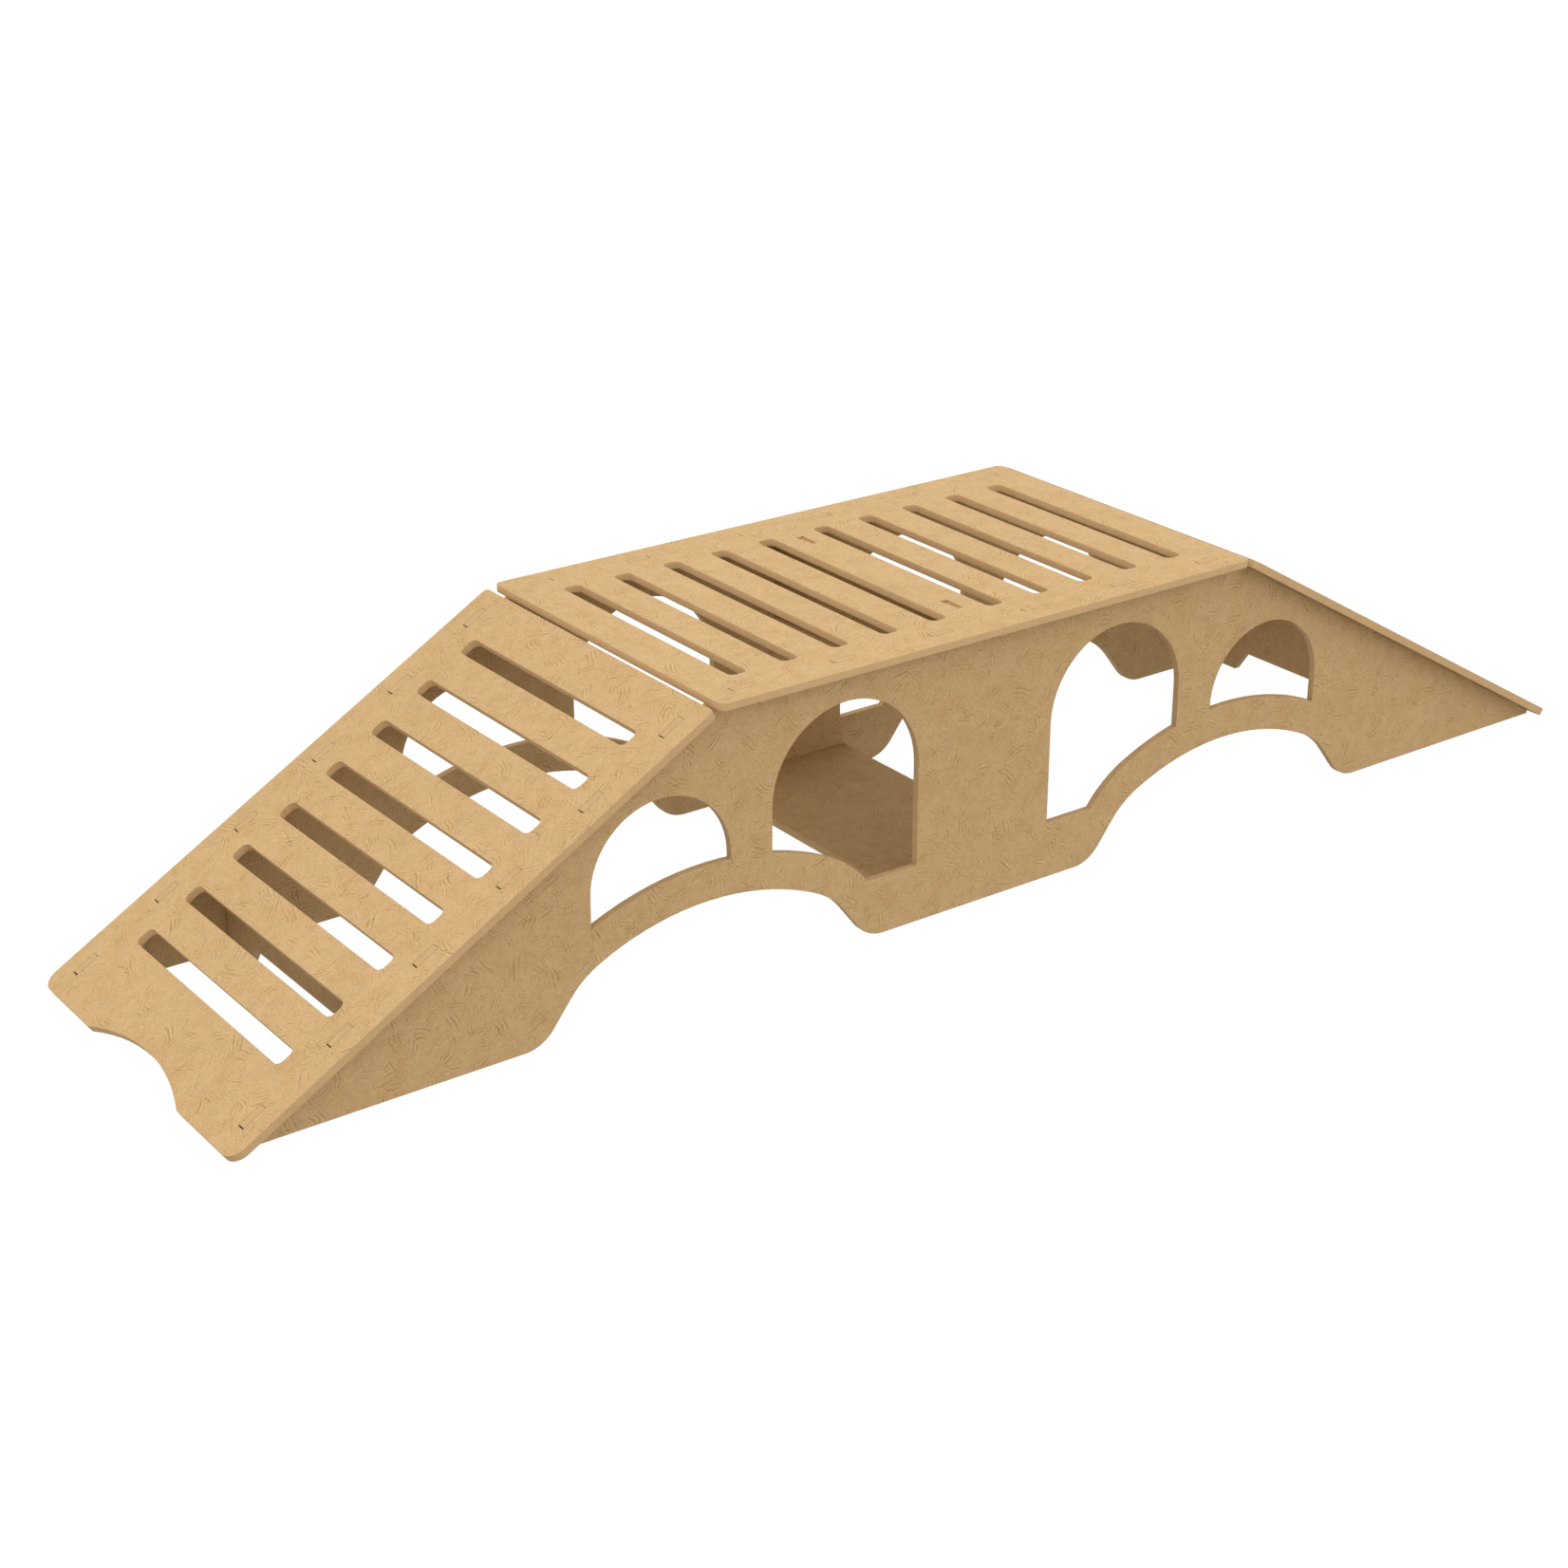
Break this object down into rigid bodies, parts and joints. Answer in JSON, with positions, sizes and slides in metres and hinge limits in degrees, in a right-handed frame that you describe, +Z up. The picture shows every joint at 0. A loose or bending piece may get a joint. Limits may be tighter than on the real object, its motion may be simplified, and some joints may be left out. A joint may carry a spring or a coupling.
{
  "type": "small-pet bridge hide",
  "caption": "Flat-pack fibreboard bridge hide for small pets: slatted deck with a ramp at each end, on arched side panels with arched doorways; deck and ramps lift off their tabs.",
  "frame": {"origin": "on the floor, at the middle of the footprint", "axes": "+X along the bridge, +Y across it, +Z up"},
  "size_m": [1.2682, 0.3, 0.226],
  "materials": {
    "board": "raw medium-density fibreboard, matt"
  },
  "bodies": {
    "frame": {"side_panel_front": "board", "side_panel_back": "board", "center_floor": "board", "center_rib": "board", "brace_left": "board", "brace_right": "board"},
    "deck": {"deck_panel": "board"},
    "left_ramp": {"ramp_left": "board"},
    "right_ramp": {"ramp_right": "board"}
  },
  "joints": [
    {"name": "deck_lift", "type": "slide", "parent": "frame", "child": "deck", "axis": [0, 0, 1], "range_m": [0, 0.06]},
    {"name": "ramp_left_lift", "type": "slide", "parent": "frame", "child": "left_ramp", "axis": [-0.5, 0, 0.866], "range_m": [0, 0.06]},
    {"name": "ramp_right_lift", "type": "slide", "parent": "frame", "child": "right_ramp", "axis": [0.5, 0, 0.866], "range_m": [0, 0.06]}
  ]
}
